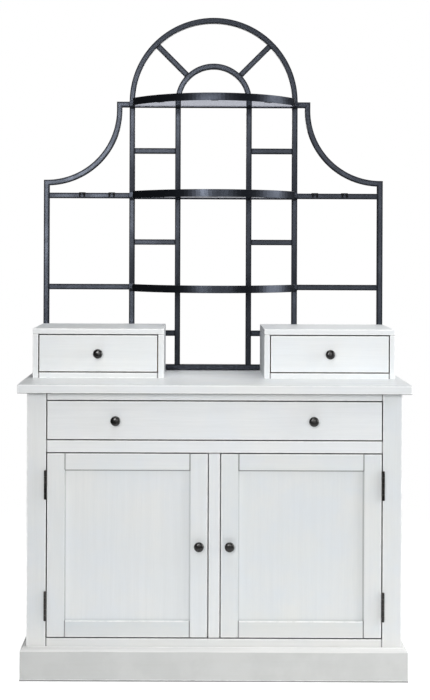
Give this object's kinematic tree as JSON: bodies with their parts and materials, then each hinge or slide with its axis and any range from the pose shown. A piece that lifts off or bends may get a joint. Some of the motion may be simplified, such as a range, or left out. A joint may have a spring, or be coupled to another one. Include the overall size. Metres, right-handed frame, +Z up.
{
  "type": "arched hutch with glass shelves",
  "caption": "Painted sideboard with a wide drawer over paired doors, loose drawer boxes on top and an arched metal rack with bowed glass shelves.",
  "frame": {"origin": "on the floor, at the centre of the bounding box in plan", "axes": "+Z up, +X to the right seen from the front, +Y to the back (the doors face -Y)"},
  "size_m": [1.219, 0.457, 2.134],
  "materials": {
    "painted_wood": "white brushed paint with grey glaze in the grain and joints, semi-gloss",
    "bare_wood": "clear-lacquered pale wood and plywood, matt",
    "rack_steel": "dark charcoal powder coat, satin",
    "dark_bronze": "oil-rubbed dark bronze, soft gloss",
    "shelf_glass": "clear float glass"
  },
  "bodies": {
    "root": {"worktop": "painted_wood", "plinth": "painted_wood", "top_rail": "painted_wood", "drawer_rail": "painted_wood", "bottom_rail": "painted_wood", "centre_stile": "painted_wood", "back_panel": "bare_wood", "cabinet_floor": "bare_wood", "cabinet_shelf": "bare_wood", "rack_outer_hoop": "rack_steel", "rack_inner_hoop": "rack_steel", "rack_bottom_rail": "rack_steel", "front_post_left": "painted_wood", "back_post_left": "painted_wood", "side_panel_left": "painted_wood", "drawer_runner_left": "bare_wood", "left_lower_hinge_post_leaf": "dark_bronze", "left_upper_hinge_post_leaf": "dark_bronze", "left_box_case": "painted_wood", "rack_wing_left": "rack_steel", "front_post_right": "painted_wood", "back_post_right": "painted_wood", "side_panel_right": "painted_wood", "drawer_runner_right": "bare_wood", "right_lower_hinge_post_leaf": "dark_bronze", "right_upper_hinge_post_leaf": "dark_bronze", "right_box_case": "painted_wood", "rack_wing_right": "rack_steel", "shelf_band_lower": "rack_steel", "shelf_glass_lower": "shelf_glass", "shelf_band_middle": "rack_steel", "shelf_glass_middle": "shelf_glass", "shelf_band_upper": "rack_steel", "shelf_glass_upper": "shelf_glass"},
    "wide_drawer": {"wide_drawer_front": "painted_wood", "wide_drawer_box": "bare_wood", "wide_drawer_knob_left": "dark_bronze", "wide_drawer_knob_right": "dark_bronze"},
    "left_door": {"left_door_hinge_stile": "painted_wood", "left_door_lock_stile": "painted_wood", "left_door_top_rail": "painted_wood", "left_door_bottom_rail": "painted_wood", "left_door_panel": "painted_wood", "left_door_knob": "dark_bronze", "left_lower_hinge_door_leaf": "dark_bronze", "left_upper_hinge_door_leaf": "dark_bronze"},
    "left_small_drawer": {"left_small_drawer_front": "painted_wood", "left_small_drawer_box": "bare_wood", "left_small_drawer_knob": "dark_bronze"},
    "right_door": {"right_door_hinge_stile": "painted_wood", "right_door_lock_stile": "painted_wood", "right_door_top_rail": "painted_wood", "right_door_bottom_rail": "painted_wood", "right_door_panel": "painted_wood", "right_door_knob": "dark_bronze", "right_lower_hinge_door_leaf": "dark_bronze", "right_upper_hinge_door_leaf": "dark_bronze"},
    "right_small_drawer": {"right_small_drawer_front": "painted_wood", "right_small_drawer_box": "bare_wood", "right_small_drawer_knob": "dark_bronze"}
  },
  "joints": [
    {"name": "wide_drawer_slide", "type": "slide", "parent": "root", "child": "wide_drawer", "axis": [0, -1, 0], "range_m": [0, 0.28]},
    {"name": "left_door_hinge", "type": "hinge", "parent": "root", "child": "left_door", "pos_m": [-0.521, -0.2063, 0.41225], "axis": [0, 0, -1], "range_deg": [0, 110]},
    {"name": "left_small_drawer_slide", "type": "slide", "parent": "root", "child": "left_small_drawer", "axis": [0, -1, 0], "range_m": [0, 0.15]},
    {"name": "right_door_hinge", "type": "hinge", "parent": "root", "child": "right_door", "pos_m": [0.521, -0.2063, 0.41225], "axis": [0, 0, 1], "range_deg": [0, 110]},
    {"name": "right_small_drawer_slide", "type": "slide", "parent": "root", "child": "right_small_drawer", "axis": [0, -1, 0], "range_m": [0, 0.15]}
  ]
}
